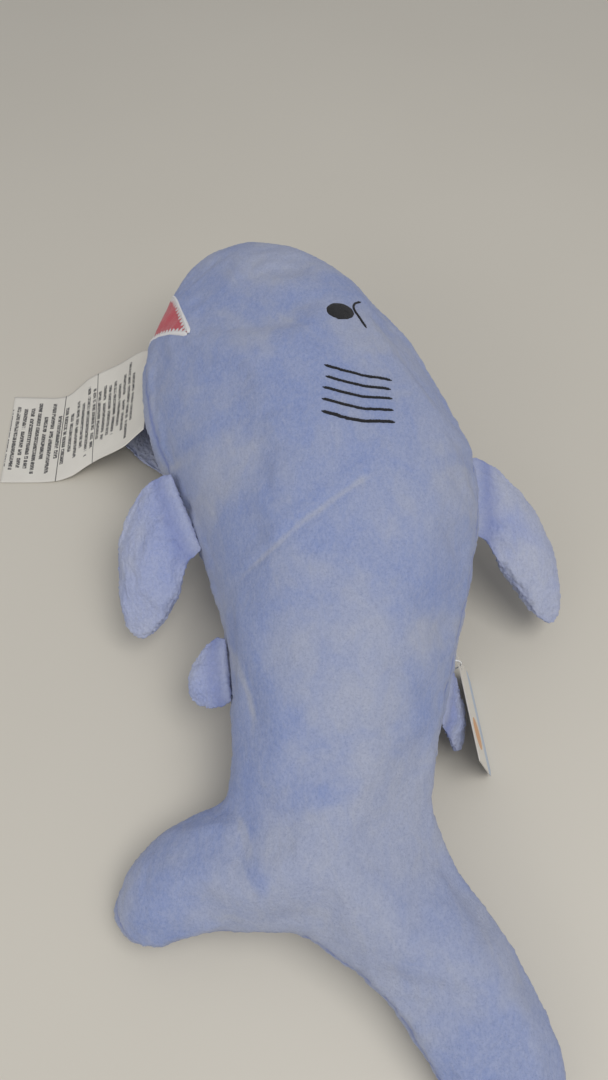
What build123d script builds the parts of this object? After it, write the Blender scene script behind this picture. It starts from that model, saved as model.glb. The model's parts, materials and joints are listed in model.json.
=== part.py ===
"""Plush shark, lying on its right side: +Y to the snout, +X to the back, +Z to its left side.

Two side panels and a belly gusset make the body skin, with stuffing inside. The tail is the
rear of the same skin, cut round a bend so that it can wag. Five stuffed fins, a sewn-in label
and a hang tag are sewn or pinned to the skin.
"""
from build123d import *
from math import cos, radians, sin
import os

# ---------------------------------------------------------------- driving dimensions (mm)
SKIN = 1.5              # plush fabric with its pile
FIN_SKIN = 1.0          # the same fabric, pulled flatter in the fins
SOFT_GAP = 0.3          # air between the skin and the stuffing, and between moving surfaces
FLANK_HEIGHT = 53.0     # height of the body's centre line above the table
SEAM_REACH = 260.0      # longer than the body is wide: reach of the cutting wedges

# Body sections from snout to tail root: y, belly side x, back side x, half thickness, centre z.
BODY_SECTIONS = [
    (194, -54, -28, 8, 47),
    (189, -63, -15, 18, 48),
    (179, -73, -4, 29, 49),
    (165, -80, 9, 39, 50),
    (147, -85, 31, 47, 52),
    (120, -96, 52, 54, 53),
    (85, -99, 67.5, 57, 53),
    (50, -91.5, 80.5, 58, 53),
    (15, -76, 89, 57, 53),
    (-20, -59.5, 88, 55, 52),
    (-55, -47.5, 79, 50, 48),
    (-90, -42, 69, 45, 43),
    (-120, -37.5, 61, 40, 38),
    (-150, -38, 54, 34, 32),
    (-176, -35, 54, 28, 26),
]
BODY_ROLL = 8.0         # the belly is turned a little towards the table, degrees

# Seams, as angles round the body's axis from the back (+X) over the left flank (+Z).
SEAM_AXIS_X = 0.0
BACK_SEAM_ANGLE = 12.0
BELLY_SEAM_ANGLE = 198.0
GUSSET_FRONT_Y = 125.0
GUSSET_REAR_Y = -70.0
GUSSET_HALF_ANGLE = 24.0

# Tail bend: a round interface about a line across the body.
BEND_Y = -150.0
BEND_Z = 32.0
BEND_RADIUS = 40.0

# Tail lobes: centre x, y, heading in degrees from +X, half width, half thickness.
LONG_LOBE = [
    (10, -158, -90, 44, 32),
    (22, -184, -72, 40, 27),
    (42.5, -200, -56, 31, 23),
    (61, -221, -60, 29, 19.5),
    (75, -246.5, -72, 28, 15.5),
    (83, -270, -76, 21, 11),
    (88, -291, -79, 8, 6),
]
SHORT_LOBE = [
    (-4, -172, 186, 32, 30),
    (-33, -176, 189, 28.5, 24),
    (-52, -178.5, 190, 26, 20),
    (-70, -186, 190, 23, 15),
    (-86, -192.5, 190, 11, 8),
]
# Mouth: side-view corners of the opening, and how deep the lining stands behind the skin.
MOUTH_TOP = (-87, 155)
MOUTH_CHIN = (-104, 114)
MOUTH_CORNER = (-64.5, 83)
TOOTH_BASE = 3.4
TOOTH_HEIGHT = 3.2
LIP_LAP = 0.8           # white lip that the teeth stand on, each side of the opening's edge

EYE_CENTRE = (17, 84)
EYE_LENGTH = 15.0
EYE_WIDTH = 14.0
EYE_TILT = -5.0
LID_CENTRE = (27, 79.5)
LID_LENGTH = 13.0
LID_TILT = -68.0
STITCH = 1.3            # width of an embroidered line
STITCH_RISE = 0.7       # height of the thread above the skin

GILL_COUNT = 5
GILL_FIRST = (7, 40.5)  # belly end of the first gill line
GILL_LENGTH = 33.5
GILL_PITCH = 7.05
GILL_SLANT = -6.0

LABEL_LENGTH_Y = 67.0
LABEL_THICK = 0.8
LABEL_FRONT_Y = 124.0
LABEL_PATH = [(-102.8, 42), (-109, 36), (-118, 26), (-130, 14.5), (-144, 6.5), (-160, 2), (-177, 0.4),
              (-194, 0.3)]

TAG_WIDTH = 33.5
TAG_LENGTH = 55.0
TAG_THICK = 0.5
TAG_CORNER = (73.2, -76, 32)
TAG_ALONG = (0.103, -0.9947, 0)
TAG_NORMAL = (0.931, 0.0964, 0.352)
TAG_CLIP = 4.0          # corners cut off at the hole's end
TAG_HOLE = 5.0
TAG_HOLE_INSET = 5.0
WIRE = 0.7              # tag fastener's nylon filament
WIRE_LOOP_RADIUS = 6.0

# Fins: root start, root direction, outward direction, and stations out from the root:
# distance out, where the section starts and ends along the root, half thickness.
FINS = {
    "pectoral_fin_left": dict(
        sides=("top", "bottom"),
        root=(-82.5, 16, 58), along=(0.39, -0.89, -0.22), out=(-0.82, -0.24, -0.50),
        stations=[(0, 3, 52, 1.4), (12, 5, 64, 6.5), (24, 12, 72, 9.5), (34, 23, 76, 9.5),
                  (42, 39, 76, 7), (46.5, 57, 70, 3)]),
    "pectoral_fin_right": dict(
        sides=("top", "bottom"),
        root=(-62.6, 46.5, 4.4), along=(-0.26, 0.966, 0.0), out=(-0.962, -0.26, 0.06),
        stations=[(0, 3, 52, 1.2), (12, 6, 62, 3.2), (24, 16, 70, 5.6), (34, 28, 74, 6),
                  (42, 43, 74, 5.4), (46.5, 57, 69, 2.5)]),
    "dorsal_fin": dict(
        sides=("left", "right"),
        root=(95, 28, 58), along=(-0.08, -0.98, -0.16), out=(0.83, 0.02, -0.54),
        stations=[(0, 3, 49, 1.4), (12, 6, 61, 6), (24, 12, 71, 9), (35, 19, 79, 10),
                  (44, 29, 84, 8.5), (49, 41, 83, 6.5), (52.5, 56, 76, 3)]),
    "second_dorsal_fin": dict(
        sides=("left", "right"),
        root=(71, -86, 37), along=(-0.206, -0.969, -0.125), out=(0.47, 0.03, -0.88),
        stations=[(0, 3, 32, 1.2), (5, 6, 34, 2.0), (10, 10, 36, 3.0), (15, 15, 37, 3.4),
                  (19, 21, 36, 2.8), (21.5, 26, 34, 1.4)]),
    "anal_fin": dict(
        sides=("left", "right"),
        root=(-47, -72, 45), along=(0.12, -0.95, -0.30), out=(-0.81, 0.087, -0.60),
        stations=[(0, 2, 32, 1.2), (6, 4, 32, 4), (12, 8, 30, 5), (16, 13, 27, 4),
                  (18.5, 18, 24, 1.8)]),
}

pieces = []


def keep(piece, label):
    """Label a finished piece and put it on the list to write."""
    piece.label = label
    pieces.append(piece)


def cross_plane(y):
    """Plane across the body at y: local x is +X and local y is +Z."""
    return Plane(origin=(0, y, 0), x_dir=(1, 0, 0), z_dir=(0, -1, 0))


def body_solid(inset):
    """The body's lofted form, taken in by inset, with the flat it lies on."""
    with BuildPart() as form:
        last = len(BODY_SECTIONS) - 1
        for index, (y, belly, back, half, centre_z) in enumerate(BODY_SECTIONS):
            y_in = y - inset if index == 0 else y + inset if index == last else y
            with BuildSketch(cross_plane(y_in)):
                with Locations(((belly + back) / 2, centre_z)):
                    Ellipse((back - belly) / 2 - inset, half - inset, rotation=BODY_ROLL)
        loft()
        split(bisect_by=Plane.XY.offset(inset), keep=Keep.TOP)
    return form.part


def lobe_solid(stations, inset):
    """A tail lobe lofted through upright ellipses along its curved spine."""
    last = len(stations) - 1
    with BuildPart() as form:
        for index, (x, y, heading, half_width, half_thick) in enumerate(stations):
            ahead = Vector(cos(radians(heading)), sin(radians(heading)), 0)
            step = inset if index == 0 else -inset if index == last else 0
            origin = Vector(x, y, half_thick + SOFT_GAP) + ahead * step
            plane = Plane(origin=origin, x_dir=Vector(-ahead.Y, ahead.X, 0), z_dir=ahead)
            with BuildSketch(plane):
                Ellipse(half_width - inset, half_thick - inset)
        loft()
    return form.part


def wedge(start_angle, end_angle, front_y, rear_y, steps=6):
    """Prism between two planes that meet on the seam axis, from front_y back to rear_y."""
    span = end_angle - start_angle
    corners = [(SEAM_AXIS_X, FLANK_HEIGHT)]
    for step in range(steps + 1):
        angle = radians(start_angle + span * step / steps)
        corners.append((SEAM_AXIS_X + SEAM_REACH * cos(angle), FLANK_HEIGHT + SEAM_REACH * sin(angle)))
    with BuildPart() as cutter:
        with BuildSketch(cross_plane(front_y)):
            with BuildLine():
                Polyline(*corners, close=True)
            make_face()
        extrude(amount=front_y - rear_y)
    return cutter.part


def gusset_wedge():
    """Wedge that takes the belly gusset out of the skin, narrowing to nothing at the rear."""
    with BuildPart() as cutter:
        for y, half_angle in ((GUSSET_FRONT_Y, GUSSET_HALF_ANGLE), (GUSSET_REAR_Y, 1.0)):
            with BuildSketch(cross_plane(y)):
                with BuildLine():
                    ends = [radians(BELLY_SEAM_ANGLE + side * half_angle) for side in (-1, 1)]
                    points = [(SEAM_AXIS_X, FLANK_HEIGHT)]
                    for angle in ends:
                        points.append((SEAM_AXIS_X + SEAM_REACH * cos(angle),
                                       FLANK_HEIGHT + SEAM_REACH * sin(angle)))
                    Polyline(*points, close=True)
                make_face()
        loft(ruled=True)
    return cutter.part


def bend_cutter(radius, size=400):
    """Everything behind the bend line, with a round front about it."""
    with BuildPart() as cutter:
        with BuildSketch(Plane.YZ.offset(-size / 2)):
            with Locations((BEND_Y, BEND_Z)):
                Circle(radius)
            with Locations((BEND_Y, BEND_Z)):
                Rectangle(size, size, align=(Align.MAX, Align.CENTER))
        extrude(amount=size)
    return cutter.part


def mouth_prism(depth=140):
    """Triangle of the mouth opening seen from the side, carried right across the head."""
    with BuildPart() as cutter:
        with BuildSketch(Plane.XY):
            with BuildLine():
                Polyline(MOUTH_TOP, MOUTH_CHIN, MOUTH_CORNER, close=True)
            make_face()
        extrude(amount=depth)
    return cutter.part


def tooth_row(start, end, side, depth=140):
    """A row of triangular teeth along one lip, seen from the side and carried across the head."""
    start, end = Vector(*start, 0), Vector(*end, 0)
    along = (end - start).normalized()
    across = Vector(-along.Y, along.X, 0) * side
    count = int((end - start).length // TOOTH_BASE) - 2
    edge = [start - across * LIP_LAP]
    for tooth in range(count):
        foot = start + along * (TOOTH_BASE * tooth)
        edge.append(foot + across * LIP_LAP)
        edge.append(foot + along * (TOOTH_BASE / 2) + across * TOOTH_HEIGHT)
    last = start + along * (TOOTH_BASE * count)
    edge += [last + across * LIP_LAP, last - across * LIP_LAP]
    with BuildPart() as cutter:
        with BuildSketch(Plane.XY):
            with BuildLine():
                Polyline(*[(point.X, point.Y) for point in edge], close=True)
            make_face()
        extrude(amount=depth)
    return cutter.part


def eye_prism(depth=140):
    """The embroidered eye and the short lid line behind it, carried across the head."""
    with BuildPart() as cutter:
        with BuildSketch(Plane.XY):
            with Locations(EYE_CENTRE):
                Ellipse(EYE_LENGTH / 2, EYE_WIDTH / 2, rotation=EYE_TILT)
            with Locations(LID_CENTRE):
                SlotOverall(LID_LENGTH, STITCH, rotation=LID_TILT)
        extrude(amount=depth)
    return cutter.part


def gill_prism(depth=140):
    """Five parallel gill lines, carried across the head."""
    with BuildPart() as cutter:
        with BuildSketch(Plane.XY):
            for line in range(GILL_COUNT):
                middle = GILL_FIRST[0] + GILL_LENGTH / 2
                with Locations((middle, GILL_FIRST[1] - line * GILL_PITCH)):
                    SlotOverall(GILL_LENGTH, STITCH, rotation=GILL_SLANT)
        extrude(amount=depth)
    return cutter.part


def fin_plane(fin):
    """Middle plane of a fin: local x outwards, local y along the root, z to its first side."""
    out = Vector(*fin["out"]).normalized()
    along = Vector(*fin["along"]).normalized()
    normal = out.cross(along)
    if normal.Z < 0:
        normal = normal * -1
    return Plane(origin=fin["root"], x_dir=out, z_dir=normal)


def fin_solid(fin, inset):
    """A fin lofted from its thin root to its rounded tip, taken in by inset."""
    middle = fin_plane(fin)
    out = middle.x_dir
    along = Vector(*fin["along"]).normalized()
    last = len(fin["stations"]) - 1
    with BuildPart() as form:
        for index, (reach, start, end, half) in enumerate(fin["stations"]):
            step = inset if index == 0 else -inset if index == last else 0
            centre = middle.origin + out * (reach + step) + along * ((start + end) / 2)
            thick = max(half - inset, half * 0.3)
            with BuildSketch(Plane(origin=centre, x_dir=along, z_dir=out)):
                Ellipse((end - start) / 2 - inset, thick)
        loft()
    return form.part


# ---------------------------------------------------------------- body and tail skins
body_outer = body_solid(0)
body_inner = body_solid(SKIN)
body_core = body_solid(SKIN + SOFT_GAP)
tail_outer = lobe_solid(LONG_LOBE, 0) + lobe_solid(SHORT_LOBE, 0)
tail_inner = lobe_solid(LONG_LOBE, SKIN) + lobe_solid(SHORT_LOBE, SKIN)
tail_core = lobe_solid(LONG_LOBE, SKIN + SOFT_GAP) + lobe_solid(SHORT_LOBE, SKIN + SOFT_GAP)

behind_bend = bend_cutter(BEND_RADIUS)
tail_side = bend_cutter(BEND_RADIUS - SOFT_GAP)
left_half = wedge(BACK_SEAM_ANGLE, BELLY_SEAM_ANGLE, 260, -340)
gusset_cut = gusset_wedge()
mouth_cut = mouth_prism()

front_skin = body_outer - body_inner - behind_bend
mouth_skin = front_skin & mouth_cut
front_skin = front_skin - mouth_cut
gusset_skin = front_skin & gusset_cut
panel_skin = front_skin - gusset_cut

with BuildPart() as side_panel_left:
    add(panel_skin & left_half)
keep(side_panel_left.part, "side_panel_left")

with BuildPart() as side_panel_right:
    add(panel_skin - left_half)
keep(side_panel_right.part, "side_panel_right")

with BuildPart() as belly_gusset:
    add(gusset_skin)
keep(belly_gusset.part, "belly_gusset")

with BuildPart() as body_stuffing:
    add(body_core - behind_bend)
keep(body_stuffing.part, "body_stuffing")

rear_outer = (body_outer + tail_outer) & tail_side
rear_inner = (body_inner + tail_inner) & tail_side
rear_core = (body_core + tail_core) & tail_side
rear_skin = rear_outer - rear_inner

with BuildPart() as tail_panel_left:
    add(rear_skin.split(Plane.XY.offset(BEND_Z * 0.45), keep=Keep.TOP))
keep(tail_panel_left.part, "tail_panel_left")

with BuildPart() as tail_panel_right:
    add(rear_skin.split(Plane.XY.offset(BEND_Z * 0.45), keep=Keep.BOTTOM))
keep(tail_panel_right.part, "tail_panel_right")

with BuildPart() as tail_stuffing:
    add(rear_core)
keep(tail_stuffing.part, "tail_stuffing")

# ---------------------------------------------------------------- mouth, eyes and gill stitches
body_grown = body_solid(-STITCH_RISE)
body_sunk = body_solid(STITCH_RISE)
raised_thread = (body_grown - body_outer).split(Plane.XY.offset(SOFT_GAP), keep=Keep.TOP)
sunk_thread = body_outer - body_sunk

with BuildPart() as mouth_lining:
    add(mouth_skin)
keep(mouth_lining.part, "mouth_lining")

with BuildPart() as upper_teeth:
    add(raised_thread & tooth_row(MOUTH_TOP, MOUTH_CORNER, -1))
keep(upper_teeth.part, "upper_teeth")

with BuildPart() as lower_teeth:
    add(raised_thread & tooth_row(MOUTH_CHIN, MOUTH_CORNER, 1))
keep(lower_teeth.part, "lower_teeth")

eye_cut = eye_prism()
gill_cut = gill_prism()
for side, thread, half in (("left", raised_thread, Keep.TOP), ("right", sunk_thread, Keep.BOTTOM)):
    flank = thread.split(Plane.XY.offset(FLANK_HEIGHT), keep=half)
    keep(Part() + (flank & eye_cut), f"eye_{side}")
    keep(Part() + (flank & gill_cut), f"gill_stitches_{side}")

# The stitches on the side it lies on are pressed in flush, so that panel gives them room.
pressed_in = [piece for piece in pieces if piece.label in ("eye_right", "gill_stitches_right")]
for index, piece in enumerate(pieces):
    if piece.label == "side_panel_right":
        relieved = piece - pressed_in[0] - pressed_in[1]
        relieved.label = piece.label
        pieces[index] = relieved

# ---------------------------------------------------------------- fins
for name, fin in FINS.items():
    outer = fin_solid(fin, 0)
    inner = fin_solid(fin, FIN_SKIN)
    core = fin_solid(fin, FIN_SKIN + SOFT_GAP)
    shell = outer - inner
    for side, half in zip(fin["sides"], (Keep.TOP, Keep.BOTTOM)):
        keep(Part() + shell.split(fin_plane(fin), keep=half), f"{name}_{side}_panel")
    keep(Part() + core, f"{name}_stuffing")

# ---------------------------------------------------------------- sewn-in label and hang tag
with BuildPart() as sewn_label:
    with BuildSketch(cross_plane(LABEL_FRONT_Y)):
        with BuildLine():
            lower = Spline(*LABEL_PATH)
            upper = Spline(*[(x, z + LABEL_THICK) for x, z in LABEL_PATH])
            Line(lower @ 0, upper @ 0)
            Line(lower @ 1, upper @ 1)
        make_face()
    extrude(amount=LABEL_LENGTH_Y)
keep(sewn_label.part, "sewn_label")

tag_normal = Vector(*TAG_NORMAL).normalized()
tag_along = Vector(*TAG_ALONG).normalized()
tag_plane = Plane(origin=TAG_CORNER, x_dir=tag_along, z_dir=tag_normal)
with BuildPart() as hang_tag:
    with BuildSketch(tag_plane):
        card = Rectangle(TAG_LENGTH, TAG_WIDTH, align=(Align.MIN, Align.MIN))
        chamfer(card.vertices().sort_by(Axis(TAG_CORNER, TAG_ALONG))[:2], TAG_CLIP)
        with Locations((TAG_HOLE_INSET, TAG_HOLE_INSET)):
            Circle(TAG_HOLE / 2, mode=Mode.SUBTRACT)
    extrude(amount=TAG_THICK / 2, both=True)
keep(hang_tag.part, "hang_tag")

hole_centre = tag_plane.from_local_coords((TAG_HOLE_INSET, TAG_HOLE_INSET, 0))
loop_centre = hole_centre - tag_normal * (WIRE_LOOP_RADIUS * 0.8) - tag_plane.y_dir * (WIRE_LOOP_RADIUS * 0.6)
loop_plane = Plane(origin=loop_centre, x_dir=tag_normal, z_dir=tag_along)
with BuildPart() as tag_fastener:
    with Locations(loop_plane):
        Torus(WIRE_LOOP_RADIUS, WIRE / 2)
keep(tag_fastener.part, "tag_fastener")

# The fastener's wire goes in through the skin and out again, in a channel of its own.
with BuildPart() as wire_channel:
    with Locations(loop_plane):
        Torus(WIRE_LOOP_RADIUS, WIRE / 2 + SOFT_GAP)
for index, piece in enumerate(pieces):
    if piece.label in ("side_panel_right", "side_panel_left", "body_stuffing"):
        relieved = piece - wire_channel.part
        relieved.label = piece.label
        pieces[index] = relieved

# ---------------------------------------------------------------- origin and files
boxes = [piece.bounding_box() for piece in pieces]
low = Vector(*[min(getattr(box.min, axis) for box in boxes) for axis in "XYZ"])
high = Vector(*[max(getattr(box.max, axis) for box in boxes) for axis in "XYZ"])
shift = Vector(-(low.X + high.X) / 2, -(low.Y + high.Y) / 2, -low.Z)
print("shift", shift, "size", high - low)
os.makedirs("parts", exist_ok=True)
for piece in pieces:
    moved = piece.moved(Location(shift))
    moved.label = piece.label
    export_step(moved, f"parts/{piece.label}.step")
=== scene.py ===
"""Looks of the plush shark: its plush skin, fins, stitches, mouth, label and hang tag.

Lengths are in millimetres in the toy's own drawing frame until a mesh is made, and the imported
model says where that frame's origin is. The toy lies on its right side: +Y is towards the
snout, +X towards the back and +Z is its left side.
"""
import json
import math

import bmesh
import bpy
import numpy as np
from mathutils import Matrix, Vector, noise
from mathutils.bvhtree import BVHTree


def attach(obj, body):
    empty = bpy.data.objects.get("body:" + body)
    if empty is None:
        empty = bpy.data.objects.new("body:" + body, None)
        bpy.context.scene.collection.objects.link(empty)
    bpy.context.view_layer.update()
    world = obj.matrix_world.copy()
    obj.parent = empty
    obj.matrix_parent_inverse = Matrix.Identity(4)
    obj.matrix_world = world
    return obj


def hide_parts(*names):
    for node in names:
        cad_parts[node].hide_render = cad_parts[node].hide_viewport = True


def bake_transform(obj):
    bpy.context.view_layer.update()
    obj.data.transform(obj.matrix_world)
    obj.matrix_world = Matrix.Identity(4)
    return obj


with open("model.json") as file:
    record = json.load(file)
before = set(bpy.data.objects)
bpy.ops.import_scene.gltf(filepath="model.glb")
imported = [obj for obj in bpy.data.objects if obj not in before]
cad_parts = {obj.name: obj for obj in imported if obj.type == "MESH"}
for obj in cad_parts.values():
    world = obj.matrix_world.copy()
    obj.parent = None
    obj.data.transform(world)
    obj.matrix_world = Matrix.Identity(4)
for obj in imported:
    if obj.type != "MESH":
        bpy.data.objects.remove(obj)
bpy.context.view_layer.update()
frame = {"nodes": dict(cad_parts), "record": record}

MM = 0.001
JOINTS = {joint["name"]: joint for joint in frame["record"]["behaviour"]["joints"]}
TAIL_BEND_AT = np.array([10.0, -150.0, 32.0])   # where the drawing puts the tail's bend
ORIGIN = np.array(JOINTS["tail_bend"]["pos_m"]) - TAIL_BEND_AT * MM

# ---------------------------------------------------------------- driving shapes (mm)
# Body sections: y, belly side x, back side x, half thickness, centre z.
BODY_SECTIONS = np.array([
    (195, -53, -31, 4, 47),
    (191, -61, -18, 15, 48),
    (185, -68, -9, 24, 48),
    (176, -75, -1, 31, 49),
    (162, -80.5, 12, 40, 50),
    (147, -85, 31, 48, 52),
    (120, -96, 52, 54, 53),
    (85, -99, 67.5, 57, 53),
    (50, -91.5, 80.5, 58, 53),
    (15, -76, 89.3, 57, 53),
    (-20, -59.5, 88, 55, 52),
    (-55, -47.3, 79.3, 50, 48),
    (-90, -42, 69, 45, 43),
    (-120, -37.5, 61, 40, 38),
    (-150, -38, 54, 34, 32),
    (-172, -35, 52, 28, 27),
], float)
BODY_ROLL = math.radians(8)

# Tail lobes: centre x, y, heading in degrees, half width, half thickness.
LONG_LOBE = np.array([
    (10, -150, -88, 44, 33),
    (22, -184, -72, 40, 27),
    (42.6, -200, -55, 30.5, 23),
    (55.4, -213, -58, 29, 21),
    (67.5, -229.8, -65, 28.5, 18.5),
    (75.2, -246.4, -72, 28, 16),
    (82, -266, -76, 23, 13),
    (86, -283, -78, 14, 9),
    (88, -292, -80, 4, 4),
], float)
SHORT_LOBE = np.array([
    (-4, -172, 186, 32, 29),
    (-33, -176, 189, 28.5, 24),
    (-50.4, -177.7, 190, 26.3, 21),
    (-67, -184.7, 190, 24, 17),
    (-79, -190.4, 190, 20, 13),
    (-86, -192.5, 190, 13, 8.5),
    (-89.5, -193, 190, 4, 4),
], float)

MOUTH_TOP = (-87, 155)
MOUTH_CHIN = (-104, 114)
MOUTH_CORNER = (-64.5, 83)

GUSSET_FRONT_Y, GUSSET_REAR_Y = 122.0, -70.0
BACK_SEAM_ANGLE = math.radians(12)
BELLY_SEAM_ANGLE = math.radians(18)
GUSSET_HALF_ANGLE = math.radians(24)

FINS = {
    "pectoral_fin_left": dict(
        sunk=9, sides=("top", "bottom"), root=(-82.5, 16, 58), along=(0.39, -0.89, -0.22),
        out=(-0.82, -0.24, -0.50),
        stations=[(0, 3, 52, 2.5), (5, 2, 56, 6), (12, 5, 64, 8.5), (24, 12, 72, 10.5),
                  (34, 23, 76, 10), (41, 36, 77, 8), (45, 48, 74, 5), (47, 58, 68, 1.5)]),
    "pectoral_fin_right": dict(
        sunk=6, sides=("top", "bottom"), root=(-62.6, 46.5, 4.4), along=(-0.26, 0.966, 0.0),
        out=(-0.962, -0.26, 0.06),
        stations=[(0, 3, 52, 1.6), (12, 6, 62, 3.6), (24, 16, 70, 5.8), (34, 28, 74, 6),
                  (41, 41, 75, 5), (45, 51, 71, 3.4), (46.5, 57, 66, 1)]),
    "dorsal_fin": dict(
        sunk=12, sides=("left", "right"), root=(95, 28, 58), along=(-0.08, -0.98, -0.16),
        out=(0.83, 0.02, -0.54),
        stations=[(0, 3, 49, 2.5), (5, 4, 54, 6), (12, 6, 61, 8), (24, 12, 71, 10),
                  (35, 19, 80, 10.5), (44, 29, 84, 8.5), (49, 41, 83, 6), (52.5, 58, 76, 1.5)]),
    "second_dorsal_fin": dict(
        sunk=7, sides=("left", "right"), root=(71, -86, 37), along=(-0.206, -0.969, -0.125),
        out=(0.47, 0.03, -0.88),
        stations=[(0, 3, 32, 1.4), (5, 6, 34, 2.6), (10, 10, 36, 3.8), (15, 15, 37, 4.0),
                  (19, 21, 36, 3.0), (21.5, 26, 34, 1)]),
    "anal_fin": dict(
        sunk=7, sides=("left", "right"), root=(-47, -72, 45), along=(0.12, -0.95, -0.30),
        out=(-0.81, 0.087, -0.60),
        stations=[(0, 2, 35, 2), (6, 5, 35, 5), (12, 10, 33, 5.6), (16, 15, 30, 4),
                  (19, 19, 26, 1)]),
}


# ---------------------------------------------------------------- small helpers
def to_frame(points):
    """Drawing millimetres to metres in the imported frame."""
    return np.asarray(points, float) * MM + ORIGIN


def to_drawing(points):
    """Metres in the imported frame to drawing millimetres."""
    return (np.asarray(points, float) - ORIGIN) / MM


def unit(vector):
    """The vector at length 1."""
    vector = np.asarray(vector, float)
    return vector / np.linalg.norm(vector)


def smooth_step(value, low, high):
    """0 below low, 1 above high, smooth between."""
    t = np.clip((np.asarray(value, float) - low) / (high - low), 0, 1)
    return t * t * (3 - 2 * t)


def fair_curve(stations, count, softness):
    """Resamples a table of stations evenly and rounds its corners, ends kept."""
    steps = arc_lengths(stations[:, :2])
    table = values_at(steps, stations, np.linspace(0, steps[-1], count))
    reach = int(softness * 3)
    weights = np.exp(-0.5 * (np.arange(-reach, reach + 1) / softness) ** 2)
    weights /= weights.sum()
    before = 2 * table[0] - table[reach:0:-1]
    after = 2 * table[-1] - table[-2:-reach - 2:-1]
    padded = np.concatenate([before, table, after])
    return np.stack([np.convolve(column, weights, mode="valid") for column in padded.T], axis=1)


def new_object(name, points, faces):
    """A mesh object from drawing-frame points."""
    mesh = bpy.data.meshes.new(name)
    mesh.from_pydata(to_frame(points).tolist(), [], faces)
    mesh.update()
    obj = bpy.data.objects.new(name, mesh)
    bpy.context.scene.collection.objects.link(obj)
    return obj


def read_points(obj):
    flat = np.empty(len(obj.data.vertices) * 3)
    obj.data.vertices.foreach_get("co", flat)
    return to_drawing(flat.reshape(-1, 3))


def write_points(obj, points):
    obj.data.vertices.foreach_set("co", to_frame(points).ravel())
    obj.data.update()


def read_normals(obj):
    flat = np.empty(len(obj.data.vertices) * 3)
    obj.data.vertices.foreach_get("normal", flat)
    return flat.reshape(-1, 3)


def apply_modifiers(obj):
    """Keeps what the modifiers make as the object's own mesh."""
    evaluated = obj.evaluated_get(bpy.context.evaluated_depsgraph_get())
    mesh = bpy.data.meshes.new_from_object(evaluated)
    obj.modifiers.clear()
    obj.data = mesh
    return obj


def smooth_shaded(obj):
    obj.data.polygons.foreach_set("use_smooth", [True] * len(obj.data.polygons))
    return obj


def subdivide(obj, levels=1):
    modifier = obj.modifiers.new("subdivide", "SUBSURF")
    modifier.levels = modifier.render_levels = levels
    return apply_modifiers(obj)


def noise_at(points, size, seed):
    """Smooth noise from -1 to 1 at each point, with blobs about size mm across."""
    offset = Vector((seed * 17.3, seed * 5.1, seed * 9.7))
    return np.array([noise.noise(Vector(point) / size + offset) for point in points])


def face_outwards(obj, weld=0.0):
    """Turns a mesh's faces outwards, after joining points that are closer than weld mm."""
    work = bmesh.new()
    work.from_mesh(obj.data)
    if weld:
        bmesh.ops.remove_doubles(work, verts=work.verts, dist=weld * MM)
    bmesh.ops.recalc_face_normals(work, faces=work.faces)
    work.to_mesh(obj.data)
    work.free()


def cover(obj, material):
    """Makes a material the only one on an object."""
    obj.data.materials.clear()
    obj.data.materials.append(material)


def arc_lengths(path):
    """Distance along a path to each of its points."""
    return np.concatenate([[0], np.cumsum(np.linalg.norm(np.diff(path, axis=0), axis=1))])


def values_at(steps, columns, wanted):
    """Each column of a table read off at the wanted distances along it."""
    return np.stack([np.interp(wanted, steps, column) for column in columns.T], axis=1)


def running_mean(table, width, **pad):
    """Each column of a table averaged over width rows, its ends padded as np.pad is told."""
    weights = np.ones(width) / width
    columns = [np.convolve(np.pad(column, width // 2, **pad), weights, mode="valid") for column in table.T]
    return np.stack(columns, axis=1)


def add_values(obj, name, values):
    """Stores a number or a vector on every point, for the materials to read."""
    values = np.asarray(values, float)
    kind = "FLOAT_VECTOR" if values.ndim == 2 else "FLOAT"
    attribute = obj.data.attributes.new(name, kind, "POINT")
    attribute.data.foreach_set("vector" if values.ndim == 2 else "value", values.ravel())


def grid_faces(rows, columns):
    """Faces of an open grid of points, row after row."""
    faces = []
    for row in range(rows - 1):
        for column in range(columns - 1):
            a = row * columns + column
            faces.append((a, a + 1, a + 1 + columns, a + columns))
    return faces


def tube(rings):
    """Points and faces of a closed tube through rings of equal length, capped at both ends."""
    count, around = len(rings), len(rings[0])
    points = np.concatenate([np.concatenate(rings), [rings[0].mean(0), rings[-1].mean(0)]])
    faces = []
    for ring in range(count - 1):
        for step in range(around):
            a, b = ring * around + step, ring * around + (step + 1) % around
            faces.append((a, b, b + around, a + around))
    for step in range(around):
        faces.append((step, count * around, (step + 1) % around))
        last = (count - 1) * around
        faces.append((last + (step + 1) % around, count * around + 1, last + step))
    return points, faces


# ---------------------------------------------------------------- body form
BODY_TABLE = fair_curve(BODY_SECTIONS, 120, 3.0)
LONG_TABLE = fair_curve(LONG_LOBE, 60, 3.0)
SHORT_TABLE = fair_curve(SHORT_LOBE, 40, 2.5)


def body_rings(around=72):
    rings = []
    angles = np.linspace(0, 2 * math.pi, around, endpoint=False)
    for y, belly, back, half, centre_z in BODY_TABLE:
        across = (back - belly) / 2 * np.cos(angles)
        up = half * np.sin(angles)
        x = (back + belly) / 2 + across * math.cos(BODY_ROLL) - up * math.sin(BODY_ROLL)
        z = centre_z + across * math.sin(BODY_ROLL) + up * math.cos(BODY_ROLL)
        rings.append(np.stack([x, np.full(around, y), z], axis=1))
    return rings


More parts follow.
